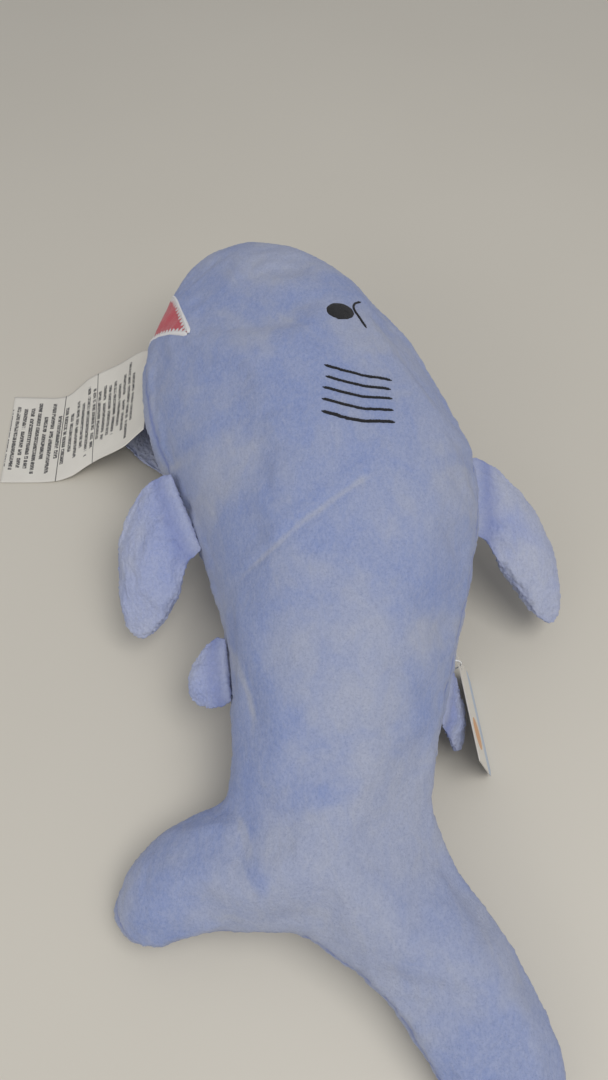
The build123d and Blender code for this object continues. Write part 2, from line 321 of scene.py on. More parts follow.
def lobe_rings(table, around=48, crown=1.25):
    """Rings of a tail lobe: two panels that meet in a soft rim."""
    rings = []
    angles = np.linspace(0, 2 * math.pi, around, endpoint=False)
    for x, y, heading, half_width, half_thick in table:
        side = np.array([-math.sin(math.radians(heading)), math.cos(math.radians(heading)), 0])
        across = half_width * np.cos(angles)
        up = half_thick * np.sign(np.sin(angles)) * np.abs(np.sin(angles)) ** crown
        centre = np.array([x, y, half_thick + 1.0])
        rings.append(centre + across[:, None] * side + up[:, None] * np.array([0, 0, 1.0]))
    return rings


def rest_on_table(points, softness=2.2, floor=0.4):
    """Presses whatever reaches below the table flat against it, with a soft edge."""
    points[:, 2] = floor + softness * np.logaddexp(0, (points[:, 2] - floor) / softness)
    return points


def body_form(voxel=3.6):
    """Body and tail as one closed form with an even mesh."""
    points, faces = [], []
    for rings in (body_rings(), lobe_rings(LONG_TABLE), lobe_rings(SHORT_TABLE)):
        tube_points, tube_faces = tube(rings)
        base = sum(len(part) for part in points)
        points.append(tube_points)
        faces += [tuple(base + corner for corner in face) for face in tube_faces]
    form = new_object("body_form", np.concatenate(points), faces)
    remesh = form.modifiers.new("remesh", "REMESH")
    remesh.mode = "VOXEL"
    remesh.voxel_size = voxel * MM
    ease = form.modifiers.new("ease", "SMOOTH")
    ease.iterations = 10
    ease.factor = 0.5
    return apply_modifiers(form)


# ---------------------------------------------------------------- seams as height fields
def spine_height(x, y):
    """Height of the middle of the toy over each point of the table."""
    body = np.interp(-y, -BODY_TABLE[:, 0], BODY_TABLE[:, 4])
    spines = np.concatenate([LONG_TABLE[8:], SHORT_TABLE[6:]])
    gaps = (x[:, None] - spines[None, :, 0]) ** 2 + (y[:, None] - spines[None, :, 1]) ** 2
    weights = np.exp(-gaps / (2 * 14.0 ** 2)) + 1e-12
    tail = (weights * (spines[None, :, 4] + 1.0)).sum(1) / weights.sum(1)
    share = smooth_step(-y, 135, 185)
    return body * (1 - share) + tail * share


def middle_at(y):
    """x half way between the belly and the back."""
    return np.interp(-y, -BODY_TABLE[:, 0], (BODY_TABLE[:, 1] + BODY_TABLE[:, 2]) / 2)


def panel_field(points):
    """Positive on the left panel's side of the back and belly seams, negative on the right's."""
    x, y, z = points.T
    centre = middle_at(y)
    body_share = 1 - smooth_step(-y, 110, 175)
    head_share = 1 - smooth_step(y, 150, 200)
    rise = np.where(x > centre, math.tan(BACK_SEAM_ANGLE), math.tan(BELLY_SEAM_ANGLE))
    return z - spine_height(x, y) - rise * (x - centre) * body_share * head_share


def gusset_field(points):
    """Positive inside the belly gusset."""
    x, y, z = points.T
    centre = middle_at(y)
    run = np.clip((y - GUSSET_REAR_Y) / (GUSSET_FRONT_Y - GUSSET_REAR_Y), 0, 1)
    half = GUSSET_HALF_ANGLE * np.minimum(run * 1.6, 1)
    rise = z - spine_height(x, y)
    angle = np.arctan2(rise, centre - x) + BELLY_SEAM_ANGLE
    inside = (half - np.abs(angle)) * np.hypot(rise, centre - x)
    return np.minimum(inside, np.minimum(y - GUSSET_REAR_Y, GUSSET_FRONT_Y - y))


def mouth_field(points):
    """Positive inside the mouth opening, seen from the side."""
    corners = [np.array(corner, float) for corner in (MOUTH_TOP, MOUTH_CHIN, MOUTH_CORNER)]
    field = np.full(len(points), 1e9)
    for start, end in zip(corners, corners[1:] + corners[:1]):
        edge = end - start
        normal = np.array([-edge[1], edge[0]]) / np.linalg.norm(edge)
        field = np.minimum(field, (points[:, :2] - start) @ normal)
    return field


# ---------------------------------------------------------------- cloth
def puff(obj, held, pressure, frames=14, cap=4.0, swell=0.0):
    """Inflates a closed cloth form between its held points, and keeps the result."""
    before = read_points(obj)
    group = obj.vertex_groups.new(name="held")
    group.add([int(index) for index in np.nonzero(held)[0]], 1.0, "REPLACE")
    cloth = obj.modifiers.new("cloth", "CLOTH")
    settings = cloth.settings
    settings.quality = 6
    settings.mass = 0.3
    settings.tension_stiffness = settings.compression_stiffness = 15
    settings.shear_stiffness = 5
    settings.bending_stiffness = 0.6
    settings.use_pressure = True
    settings.uniform_pressure_force = pressure
    settings.shrink_min = -swell
    settings.vertex_group_mass = "held"
    settings.effector_weights.gravity = 0
    cloth.collision_settings.use_collision = False
    scene = bpy.context.scene
    cloth.point_cache.frame_start = 1
    cloth.point_cache.frame_end = frames
    for step in range(1, frames + 1):
        scene.frame_set(step)
    apply_modifiers(obj)
    obj.vertex_groups.clear()
    after = read_points(obj)
    move = after - before
    length = np.linalg.norm(move, axis=1, keepdims=True)
    write_points(obj, before + move * np.minimum(1, cap / np.maximum(length, 1e-9)))
    scene.frame_set(1)


# ---------------------------------------------------------------- materials
class Graph:
    """A material's nodes round one Principled shader. Each method returns the socket it makes."""

    def __init__(self, name):
        self.material = bpy.data.materials.new(name)
        self.material.use_nodes = True
        self.nodes = self.material.node_tree.nodes
        self.link = self.material.node_tree.links.new
        self.nodes.clear()
        self.shader = self.node("ShaderNodeBsdfPrincipled")
        self.link(self.shader.outputs[0], self.node("ShaderNodeOutputMaterial").inputs[0])

    def node(self, kind):
        return self.nodes.new(kind)

    def colour(self, socket):
        self.link(socket, self.shader.inputs["Base Color"])

    def surface(self, **values):
        """Constants on the shader's sockets, named with _ for each space."""
        for name, value in values.items():
            self.shader.inputs[name.replace("_", " ")].default_value = value

    def fill(self, socket, value):
        """Gives a socket a number, a colour or another socket's value."""
        if isinstance(value, (int, float)):
            socket.default_value = value
        elif isinstance(value, tuple):
            socket.default_value = (*value, 1.0)
        else:
            self.link(value, socket)

    def math(self, operation, first, second=None, clamp=False):
        node = self.node("ShaderNodeMath")
        node.operation = operation
        node.use_clamp = clamp
        self.fill(node.inputs[0], first)
        if second is not None:
            self.fill(node.inputs[1], second)
        return node.outputs[0]

    def times(self, first, second):
        return self.math("MULTIPLY", first, second)

    def between(self, value, low, high):
        return self.times(self.math("GREATER_THAN", value, low), self.math("LESS_THAN", value, high))

    def distance_from(self, value, middle):
        return self.math("ABSOLUTE", self.math("SUBTRACT", value, middle))

    def noise(self, vector, scale, detail=2.0, roughness=0.5, distortion=0.0):
        node = self.node("ShaderNodeTexNoise")
        node.inputs["Scale"].default_value = scale
        node.inputs["Detail"].default_value = detail
        node.inputs["Roughness"].default_value = roughness
        node.inputs["Distortion"].default_value = distortion
        self.link(vector, node.inputs["Vector"])
        return node.outputs["Fac"]

    def mix(self, factor, first, second):
        node = self.node("ShaderNodeMix")
        node.data_type = "RGBA"
        self.fill(node.inputs[0], factor)
        self.fill(node.inputs[6], first)
        self.fill(node.inputs[7], second)
        return node.outputs[2]

    def ramp(self, value, low, high):
        """Stretches a value so that low becomes 0 and high becomes 1."""
        node = self.node("ShaderNodeMapRange")
        node.interpolation_type = "SMOOTHSTEP"
        node.inputs["From Min"].default_value = low
        node.inputs["From Max"].default_value = high
        self.link(value, node.inputs["Value"])
        return node.outputs["Result"]

    def stored(self, name, output="Fac"):
        """What a piece's points hold under a name."""
        node = self.node("ShaderNodeAttribute")
        node.attribute_name = name
        return node.outputs[output]

    def rest(self):
        """Each point's place at rest in millimetres, so that a pattern stays on the cloth."""
        return self.stored("rest", "Vector")

    def stretched(self, vector, scale):
        node = self.node("ShaderNodeVectorMath")
        node.operation = "MULTIPLY"
        node.inputs[1].default_value = scale
        self.link(vector, node.inputs[0])
        return node.outputs["Vector"]

    def flat_place(self, first, second):
        """A place on a flat sheet from its two measures."""
        node = self.node("ShaderNodeCombineXYZ")
        self.link(first, node.inputs[0])
        self.link(second, node.inputs[1])
        return node.outputs[0]

    def bump(self, height, strength, depth):
        """Raises the surface by a height pattern, depth in mm."""
        node = self.node("ShaderNodeBump")
        node.inputs["Strength"].default_value = strength
        node.inputs["Distance"].default_value = depth * MM
        self.link(height, node.inputs["Height"])
        self.link(node.outputs[0], self.shader.inputs["Normal"])


def plush_material(name, deep, brushed_nap_and_painted_light, seam_shade=(0.17, 0.22, 0.50)):
    """Short plush: brushed patches and lying pile, lighter where the stored amount holds brushed nap and
    painted light, and painted shade down in the seams.
    """
    graph = Graph(name)
    rest = graph.rest()
    lying = graph.stretched(rest, (1.0, 0.55, 1.0))
    patches = graph.ramp(graph.noise(rest, 0.016, 3.0, 0.55, 0.6), 0.42, 0.68)
    streaks = graph.ramp(graph.noise(lying, 0.11, 4.0, 0.6, 0.8), 0.30, 0.72)
    tufts = graph.noise(lying, 0.75, 3.0, 0.7)
    grain = graph.noise(rest, 1.1, 3.0, 0.85)
    # The stored amount adds brushed nap and painted light: a painted floor reflection on the flanks and
    # painted highlights along creases and fin rims.
    nap_and_painted_light_share = graph.math("ADD", patches, graph.stored("brushed_nap_and_painted_light"), clamp=True)
    share = graph.math("ADD", graph.times(nap_and_painted_light_share, 0.65), graph.times(streaks, 0.28), clamp=True)
    colour = graph.mix(share, deep, brushed_nap_and_painted_light)
    bright = tuple(min(1, channel * 1.5) for channel in brushed_nap_and_painted_light)
    colour = graph.mix(graph.times(graph.ramp(tufts, 0.25, 0.75), 0.22), colour, bright)
    dark = tuple(channel * 0.55 for channel in deep)
    colour = graph.mix(graph.times(graph.ramp(grain, 0.48, 0.66), 0.26), colour, dark)
    # Painted shade: the seam_shade colour down in the seams and at the fins' roots, from the stored seam
    # amount.
    graph.colour(graph.mix(graph.stored("seam"), colour, seam_shade))
    graph.surface(Roughness=0.95, Specular_IOR_Level=0.15, Sheen_Weight=0.16, Sheen_Roughness=0.4,
                  Sheen_Tint=(0.80, 0.84, 1.0, 1.0))
    graph.bump(graph.math("ADD", graph.times(tufts, 0.8), graph.times(grain, 0.8)), 0.55, 0.9)
    return graph.material


def thread_material(name, colour, roughness):
    """Satin-stitched thread: fine ridges side by side across the stitch, with a painted highlight along the
    ridges.
    """
    graph = Graph(name)
    rest = graph.rest()
    wave = graph.node("ShaderNodeTexWave")
    wave.bands_direction = "DIAGONAL"
    wave.inputs["Scale"].default_value = 1.1
    wave.inputs["Distortion"].default_value = 0.6
    wave.inputs["Detail"].default_value = 2.0
    graph.link(rest, wave.inputs["Vector"])
    ridges = wave.outputs["Fac"]
    fibre = graph.noise(rest, 3.0, 3.0, 0.7)
    # Painted highlight: the thread is lighter along the crests of its ridges.
    ridge_highlight = graph.times(ridges, graph.ramp(fibre, 0.2, 0.8))
    graph.colour(graph.mix(ridge_highlight, colour, tuple(min(1, c * 2.4 + 0.004) for c in colour)))
    graph.surface(Roughness=roughness, Sheen_Weight=0.05)
    graph.bump(ridges, 0.8, 0.25)
    return graph.material


def felt_material(name, colour, shade, fleck=0.25):
    """Flat short-nap cloth or felt with loose fibres."""
    graph = Graph(name)
    rest = graph.rest()
    cloud = graph.noise(rest, 0.12, 3.0, 0.6, 0.5)
    fibre = graph.noise(graph.stretched(rest, (1.0, 2.4, 1.0)), 1.3, 4.0, 0.75, 1.2)
    share = graph.math("ADD", graph.times(cloud, 0.5), graph.times(fibre, fleck), clamp=True)
    graph.colour(graph.mix(share, colour, shade))
    graph.surface(Roughness=0.92, Specular_IOR_Level=0.2, Sheen_Weight=0.3)
    graph.bump(fibre, 0.5, 0.4)
    return graph.material


PLUSH = plush_material("plush", (0.235, 0.30, 0.545), (0.39, 0.42, 0.525))
FIN_PLUSH = plush_material("fin_plush", (0.30, 0.36, 0.625), (0.46, 0.49, 0.60))
MOUTH_FELT = felt_material("mouth_felt", (0.58, 0.075, 0.10), (0.36, 0.035, 0.06))
TOOTH_FELT = felt_material("tooth_felt", (0.86, 0.85, 0.84), (0.62, 0.62, 0.66))
BLACK_THREAD = thread_material("black_thread", (0.004, 0.004, 0.006), 0.65)


# ---------------------------------------------------------------- panels cut from a form
def cut_along(obj, field, snap=0.18):
    """Gives a mesh edges along field = 0."""
    work = bmesh.new()
    work.from_mesh(obj.data)
    work.verts.ensure_lookup_table()
    values = dict(zip(work.verts, field(to_drawing([vert.co[:] for vert in work.verts]))))
    fresh = []
    for edge in list(work.edges):
        first, second = edge.verts
        low, high = values[first], values[second]
        if low * high >= 0:
            continue
        share = low / (low - high)
        if share < snap:
            first.co = first.co.lerp(second.co, share)
            values[first] = 0.0
        elif share > 1 - snap:
            second.co = first.co.lerp(second.co, share)
            values[second] = 0.0
        else:
            fresh.append(bmesh.utils.edge_split(edge, first, share)[1])
            values[fresh[-1]] = 0.0
    on_line = fresh + [vert for vert, value in values.items() if value == 0.0 and vert not in fresh]
    bmesh.ops.connect_verts(work, verts=on_line, check_degenerate=True)
    work.to_mesh(obj.data)
    work.free()


def split_off(obj, name, field):
    """Moves the faces where field is positive into a new object."""
    work = bmesh.new()
    work.from_mesh(obj.data)
    centres = to_drawing([face.calc_center_median()[:] for face in work.faces])
    chosen = field(centres) > 0
    other = work.copy()
    faces = list(work.faces)
    other_faces = list(other.faces)
    bmesh.ops.delete(work, geom=[face for face, inside in zip(faces, chosen) if inside], context="FACES")
    bmesh.ops.delete(other, geom=[face for face, inside in zip(other_faces, chosen) if not inside],
                     context="FACES")
    mesh = bpy.data.meshes.new(name)
    other.to_mesh(mesh)
    work.to_mesh(obj.data)
    work.free()
    other.free()
    piece = bpy.data.objects.new(name, mesh)
    bpy.context.scene.collection.objects.link(piece)
    return piece


# ---------------------------------------------------------------- body skin
def plan_distance(points, line):
    """Distance in plan from each point to a line of points, and which side of it (+ is left)."""
    best = np.full(len(points), 1e9)
    side = np.zeros(len(points))
    line = np.asarray(line, float)
    for start, end in zip(line[:-1], line[1:]):
        edge = end - start
        t = np.clip(((points[:, :2] - start) @ edge) / (edge @ edge), 0, 1)
        gap = points[:, :2] - (start + t[:, None] * edge)
        distance = np.linalg.norm(gap, axis=1)
        cross = edge[0] * gap[:, 1] - edge[1] * gap[:, 0]
        nearer = distance < best
        best[nearer] = distance[nearer]
        side[nearer] = np.sign(cross[nearer])
    return best, side


def end_fade(points, line, length=14.0):
    """1 along the middle of a line and 0 at its ends."""
    line = np.asarray(line, float)
    first = np.linalg.norm(points[:, :2] - line[0], axis=1)
    last = np.linalg.norm(points[:, :2] - line[-1], axis=1)
    return smooth_step(np.minimum(first, last), 0, length)


# Creases on the upper flank: line in plan, depth, width, and how much one side swells.
CREASES = [
    ([(-36, -58), (-28, -55), (-22, -53), (-14, -50), (-5, -43), (4, -38), (14, -31), (23, -25),
      (33, -20)], 1.0, 2.2, 1.1),
    ([(-25, 94), (-19, 86), (-8, 76), (4, 60), (12, 50)], 0.35, 3.5, 0.2),
    ([(-42, -74), (-40, -81), (-36, -90), (-32, -99), (-28, -109), (-25, -120), (-24, -132)], 1.3, 4.5, 0.5),
    ([(-34, -154), (-31, -160), (-28, -168), (-26, -175), (-24, -183)], 1.4, 4.0, 0.5),
    ([(-34, -173), (-31, -179), (-28, -186), (-24, -192), (-20, -198)], 1.2, 3.5, 0.3),
    ([(-88, 34), (-76, 22), (-62, 14)], 1.0, 4.5, 0.4),
    ([(-72, 2), (-60, -6), (-46, -8)], 0.9, 4.5, 0.4),
    ([(60, -20), (72, -6), (84, 2)], 0.8, 5.0, 0.4),
]


def crease_moves(points, normals):
    """How far each point moves along its normal for the creases on the upper flank."""
    upper = smooth_step(normals[:, 2], 0.0, 0.35)
    move = np.zeros(len(points))
    for line, depth, width, swell in CREASES:
        distance, side = plan_distance(points, line)
        fade = end_fade(points, line) * upper
        move -= depth * np.exp(-(distance / width) ** 2) * fade
        beside = np.exp(-((distance - 2.0 * width) / (1.3 * width)) ** 2)
        move += swell * beside * np.where(side > 0, 1.0, 0.35) * fade
    return move


SEAM_GROOVE, SEAM_GROOVE_WIDTH = 1.3, 2.6
SEAM_PUCKER, SEAM_PUCKER_WIDTH = 0.8, 11.0
SEAM_HELD, TABLE_HELD = 2.0, 1.5            # the cloth is held this near a seam, or this low


def body_skin():
    """The whole skin of body and tail: formed, puffed, creased and finely meshed."""
    skin = body_form()
    skin.name = "skin"
    points = read_points(skin)
    write_points(skin, rest_on_table(points))
    points = read_points(skin)
    seam = np.minimum(np.abs(panel_field(points)), np.abs(gusset_field(points)))
    seam = np.minimum(seam, np.abs(mouth_field(points)))
    held = (seam < SEAM_HELD) | (points[:, 2] < TABLE_HELD)
    puff(skin, held, pressure=2.2, cap=3.0, swell=0.02)
    points = read_points(skin)
    normals = read_normals(skin)
    seam = np.abs(panel_field(points))
    in_gusset = gusset_field(points)
    seam = np.where(np.abs(in_gusset) < seam, np.abs(in_gusset), seam)
    groove = -SEAM_GROOVE * np.exp(-(seam / SEAM_GROOVE_WIDTH) ** 2)
    lumps = 0.9 * noise_at(points, 38.0, 1) + 0.45 * noise_at(points, 16.0, 2)
    gathers = noise_at(points * np.array([0.6, 2.2, 0.6]), 13.0, 3)
    pucker = SEAM_PUCKER * gathers * np.exp(-(seam / SEAM_PUCKER_WIDTH) ** 2)
    clear = smooth_step(points[:, 2], 1.0, 8.0)
    move = (groove + lumps + pucker + crease_moves(points, normals)) * clear
    write_points(skin, points + normals * move[:, None])
    subdivide(skin)
    for field in (panel_field, gusset_field, mouth_field):
        cut_along(skin, field)
    return skin


def finish_plush(obj, seam, brushed_nap_and_painted_light, pile=0.32):
    """Pile on the surface, and the values that the plush material reads."""
    points = read_points(obj)
    normals = read_normals(obj)
    add_values(obj, "rest", points)
    add_values(obj, "seam", seam)
    add_values(obj, "brushed_nap_and_painted_light", brushed_nap_and_painted_light)
    fine = noise_at(points, 1.7, 5) + 0.6 * noise_at(points, 0.9, 6)
    upright = 1 + 0.9 * (1 - smooth_step(normals[:, 2], 0.0, 0.5))
    clear = smooth_step(points[:, 2], 0.6, 2.0)
    write_points(obj, points + normals * (pile * fine * upright * clear)[:, None])
    return smooth_shaded(obj)


# Brushed, greyer patches of nap on the upper side: centre in plan, radius, strength.
BRUSHED_PATCHES = [
    ((66, 30), 22, 0.55), ((72, -5), 22, 0.75), ((60, -40), 16, 0.5), ((-74, 24), 14, 0.5),
    ((-58, -10), 14, 0.5), ((-44, -60), 12, 0.4), ((38, -150), 16, 0.8), ((48, -95), 12, 0.7),
    ((-17, -172), 14, 0.7), ((-10, -192), 18, 0.9), ((-40, -196), 12, 0.7), ((-60, 150), 14, 0.4),
    ((-22, 175), 16, 0.5), ((20, -198), 12, 0.6), ((-16, -100), 14, 0.3), ((30, -40), 16, 0.3),
    ((92, -250), 12, 0.5), ((-84, -180), 8, 0.6),
]


def nap_and_painted_light_at(points, normals):
    """How much lighter, greyer colour each point gets: brushed nap in the patches, a painted reflection of
    the floor on the flanks, and a painted highlight along the creases with painted shade beside them.
    """
    # Painted reflection of the grey floor: points whose normals face sideways and downwards get the lighter,
    # greyer colour.
    total = 0.55 * (1 - smooth_step(normals[:, 2], 0.05, 0.60))
    for centre, radius, strength in BRUSHED_PATCHES:
        gap = np.linalg.norm(points[:, :2] - np.array(centre), axis=1)
        total += strength * np.exp(-(gap / radius) ** 2)
    # Painted highlight in a thin line along each crease, and painted shade in a band on its left side.
    for line, depth, width, _ in CREASES:
        distance, side = plan_distance(points, line)
        fade = end_fade(points, line)
        total += 0.9 * depth * np.exp(-(distance / 1.3) ** 2) * fade
        total -= 0.5 * depth * np.exp(-((distance - 5.0) / 4.0) ** 2) * (side > 0) * fade
    return total


def seam_at(points):
    """How much painted shade each point of the skin gets down in a seam, 0 to 1."""
    gap = np.minimum(np.abs(panel_field(points)), np.abs(gusset_field(points)))
    return 0.7 * np.exp(-(gap / 1.4) ** 2)


# ---------------------------------------------------------------- build the body
skin = body_skin()
mouth_lining = split_off(skin, "mouth_lining_piece", mouth_field)
gusset = split_off(skin, "belly_gusset_piece", gusset_field)
left_skin = split_off(skin, "side_panel_left_piece", panel_field)
skin.name = "side_panel_right_piece"
right_skin = skin

for panel in (left_skin, right_skin, gusset):
    at = read_points(panel)
    finish_plush(panel, seam_at(at), nap_and_painted_light_at(at, read_normals(panel)))
    cover(panel, PLUSH)

for panel in (left_skin, right_skin):
    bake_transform(panel)
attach(gusset, "body")
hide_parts("side_panel_left", "tail_panel_left", "body_stuffing", "tail_stuffing")
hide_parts("side_panel_right", "tail_panel_right")
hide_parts("belly_gusset")


def finish_lining(lining, edge_depth=0.3, more_depth=1.1, run_in=6):
    """Sinks the mouth's lining a little below the lips, deeper away from them."""
    points = read_points(lining)
    add_values(lining, "rest", points)
    sinking = edge_depth + more_depth * smooth_step(mouth_field(points), 0, run_in)
    write_points(lining, points - sinking[:, None] * read_normals(lining))
    smooth_shaded(lining)
    cover(lining, MOUTH_FELT)
    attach(lining, "body")
    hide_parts("mouth_lining")


finish_lining(mouth_lining)


# ---------------------------------------------------------------- fins
def fin_mesh(name, fin, rows=30, columns=26, crown=0.62):
    """A stuffed fin: two panels joined round a rim, with its root sunk into the body."""
    table = fair_curve(np.array([(s, 0, a, b, h) for s, a, b, h in fin["stations"]], float), rows, 1.2)
    out, along = unit(fin["out"]), unit(fin["along"])
    normal = unit(np.cross(out, along))
    if normal[2] < 0:
        normal = -normal
    root = np.array(fin["root"], float)
    table = np.concatenate([[[-fin["sunk"], 0, table[0, 2] + 2, table[0, 3] - 2, table[0, 4]],
                             [-fin["sunk"] / 2, 0, table[0, 2], table[0, 3], table[0, 4]]], table])
    u = np.sin(np.linspace(-math.pi / 2, math.pi / 2, columns))
    top, bottom = [], []
    for reach, _, start, end, half in table:
        chord = (start + end) / 2 + (end - start) / 2 * u
        rise = half * (1 - u ** 2) ** crown
        base = root + out * reach + chord[:, None] * along
        top.append(base + rise[:, None] * normal)
        bottom.append(base - rise[:, None] * normal)
    count = len(table)
    points = list(np.concatenate(top))
    index = np.arange(count * columns).reshape(count, columns)
    under = index.copy()
    for row in range(count):
        for column in range(1, columns - 1):
            under[row, column] = len(points)
            points.append(bottom[row][column])
    faces = []
    for row in range(count - 1):
        for column in range(columns - 1):
            a, b = index[row, column], index[row, column + 1]
            c, d = index[row + 1, column + 1], index[row + 1, column]
            faces.append((a, b, c, d))
            a, b = under[row, column], under[row, column + 1]
            c, d = under[row + 1, column + 1], under[row + 1, column]
            faces.append((d, c, b, a))
    for row in (0, count - 1):
        for column in range(columns - 1):
            corners = [index[row, column], index[row, column + 1],
                       under[row, column + 1], under[row, column]]
            if row:
                corners.reverse()
            corners = [c for i, c in enumerate(corners) if c not in corners[:i]]
            faces.append(tuple(int(c) for c in corners))
    obj = new_object(name, np.array(points), [tuple(int(c) for c in face) for face in faces])
    face_outwards(obj)
    return obj, normal, out, root


def build_fin(name, fin):
    """A fin's two panels, puffed and wrinkled, in place of the imported fin's parts."""
    obj, normal, out, root = fin_mesh(name + "_form", fin)
    points = read_points(obj)
    height = (points - root) @ normal
    reach = (points - root) @ out
    held = (np.abs(height) < 0.5) | (reach < 1.0)
    puff(obj, held, pressure=1.5, frames=10, cap=2.0, swell=0.04)
    subdivide(obj, 2)
    points = read_points(obj)
    reach = (points - root) @ out
    normals = read_normals(obj)
    clear = smooth_step(points[:, 2], 0.8, 4.0)
    wrinkle = 0.45 * noise_at(points, 14.0, 7) * smooth_step(reach, 0, 6)
    wrinkle += 0.5 * noise_at(points * np.array([1.0, 2.0, 1.0]), 6.0, 8) * np.exp(-(reach / 10.0) ** 2)
    write_points(obj, points + normals * (wrinkle * clear)[:, None])

    def side(at):
        return (at - root) @ normal

    other = split_off(obj, f"{name}_{fin['sides'][0]}_panel_piece", side)
    obj.name = f"{name}_{fin['sides'][1]}_panel_piece"
    for panel, label in ((other, fin["sides"][0]), (obj, fin["sides"][1])):
        at = read_points(panel)
        rim = np.abs((at - root) @ normal)
        reach = (at - root) @ out
        # Painted shade at the fin's root, where it meets the body, and a thin line of painted shade along
        # the rim seam.
        seam = np.clip(0.45 * np.exp(-(reach / 5.0) ** 2) + 0.25 * np.exp(-(rim / 1.0) ** 2), 0, 0.8)
        # Lighter nap towards the tip, and a painted highlight along the fuzzy rim.
        lifted_nap_and_rim_highlight = smooth_step(reach, 8, 34) * 0.5 + 0.6 * np.exp(-(rim / 2.6) ** 2)
        finish_plush(panel, seam, lifted_nap_and_rim_highlight, pile=0.42)
        cover(panel, FIN_PLUSH)
        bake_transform(panel)
        nodes = [f"{name}_{label}_panel"]
        if panel is obj:
            nodes.append(f"{name}_stuffing")
        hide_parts(*nodes)


for fin_name, fin_shape in FINS.items():
    build_fin(fin_name, fin_shape)


# ---------------------------------------------------------------- things sewn on the skin
def skin_tree(*panels):
    """One search tree over several panels."""
    points, faces = [], []
    for panel in panels:
        base = len(points)
        points += [tuple(point) for point in read_points(panel)]
        faces += [tuple(base + corner for corner in face.vertices) for face in panel.data.polygons]
    return BVHTree.FromPolygons(points, faces)


SKIN_TREE = skin_tree(left_skin, right_skin, gusset, mouth_lining)


def on_skin(x, y, from_above):
    """Place and outward normal of the skin over or under a point of the plan."""
    start = Vector((x, y, 200.0 if from_above else -50.0))
    place, normal, _, _ = SKIN_TREE.ray_cast(start, Vector((0, 0, -1.0 if from_above else 1.0)))
    if (normal.z > 0) != from_above:
        normal = -normal
    return np.array(place), np.array(normal)


def stitched_patch(name, outline, rise, from_above, rings=7, around=44, ridges=0.10):
    """A raised patch of satin stitch that follows the skin. outline(angle) gives its edge in plan."""
    points, faces = [], []
    centre = np.mean([outline(angle) for angle in np.linspace(0, 2 * math.pi, 24)], axis=0)
    for ring in range(rings + 1):
        share = 1 - (ring / rings) ** 1.5
        for step in range(around):
            edge = outline(2 * math.pi * step / around)
            x, y = centre + (np.array(edge) - centre) * share
            place, normal = on_skin(x, y, from_above)
            lift = rise * (1 - share ** 3) - 0.5 * (ring == 0)
            lift += ridges * math.sin((x * 0.9 + y * 0.25) * 7.0) * (ring > 0)
            points.append(place + normal * lift)
    for ring in range(rings):
        for step in range(around):
            a, b = ring * around + step, ring * around + (step + 1) % around
            faces.append((a, b, b + around, a + around))
    obj = new_object(name, np.array(points), faces)
    face_outwards(obj, weld=0.02)
    return subdivide(obj)


def stitched_line(name, line, width, rise, from_above, spacing=0.5):
    """A raised line of satin stitch along a curve in plan."""
    line = np.asarray(line, float)
    steps = arc_lengths(line)
    path = values_at(steps, line, np.arange(0, steps[-1], spacing))
    path = running_mean(path, 9, mode="reflect", reflect_type="odd")
    heading = np.gradient(path, axis=0)
    heading /= np.linalg.norm(heading, axis=1, keepdims=True)
    profile = np.linspace(-1, 1, 7)
    points = []
    for index, (at, ahead) in enumerate(zip(path, heading)):
        side = np.array([-ahead[1], ahead[0]])
        taper = min(1.0, 0.35 + 0.2 * min(index, len(path) - 1 - index))
        for across in profile:
            x, y = at + side * across * width / 2 * taper
            place, normal = on_skin(x, y, from_above)
            lift = rise * math.sqrt(max(0, 1 - across ** 2)) * taper - 0.15
            lift += 0.12 * math.sin(index * 2.1 + across * 1.5) * (abs(across) < 0.9)
            points.append(place + normal * lift)
    obj = new_object(name, np.array(points), grid_faces(len(path), len(profile)))
    face_outwards(obj)
    return obj


def join(name, parts):
    """Joins objects into a new one."""
    work = bmesh.new()
    for part in parts:
        work.from_mesh(part.data)
    mesh = bpy.data.meshes.new(name)
    work.to_mesh(mesh)
    work.free()
    obj = bpy.data.objects.new(name, mesh)
    bpy.context.scene.collection.objects.link(obj)
    for part in parts:
        bpy.data.objects.remove(part)
    return obj


def dress(obj, material, node):
    """Gives a small sewn-on piece its material, its body and the node that it stands for."""
    add_values(obj, "rest", read_points(obj))
    smooth_shaded(obj)
    cover(obj, material)
    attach(obj, "body")
    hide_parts(node)


EYE_CENTRE = np.array([16.0, 82.6])
EYE_LENGTH, EYE_WIDTH, EYE_TILT = 15.4, 14.4, math.radians(-8)
LID_LINE = [(27.6, 95.4), (24.0, 92.2), (23.0, 88.0), (24.4, 83.2), (26.8, 77.6), (29.6, 71.0)]
GILL_LINES = [
    [(7.0, 41.4), (17.0, 37.8), (27.0, 35.2), (40.8, 35.2)],
    [(7.6, 34.2), (17.0, 30.5), (26.8, 28.2), (40.0, 28.8)],
    [(6.0, 27.4), (16.8, 23.4), (26.5, 21.4), (40.2, 22.6)],
    [(5.6, 20.0), (16.6, 16.0), (26.2, 14.0), (40.2, 15.0)],
    [(5.4, 12.8), (16.5, 8.4), (26.0, 6.8), (40.4, 7.8)],
]


def eye_edge(angle):
    """A point on the eye's tilted oval."""
    x = EYE_LENGTH / 2 * math.cos(angle)
    y = EYE_WIDTH / 2 * math.sin(angle)
    turn = np.array([x * math.cos(EYE_TILT) - y * math.sin(EYE_TILT),
                     x * math.sin(EYE_TILT) + y * math.cos(EYE_TILT)])
    return EYE_CENTRE + turn


LID_WIDTH, GILL_WIDTH, LAST_GILL_WIDTH = 1.3, 1.6, 1.9

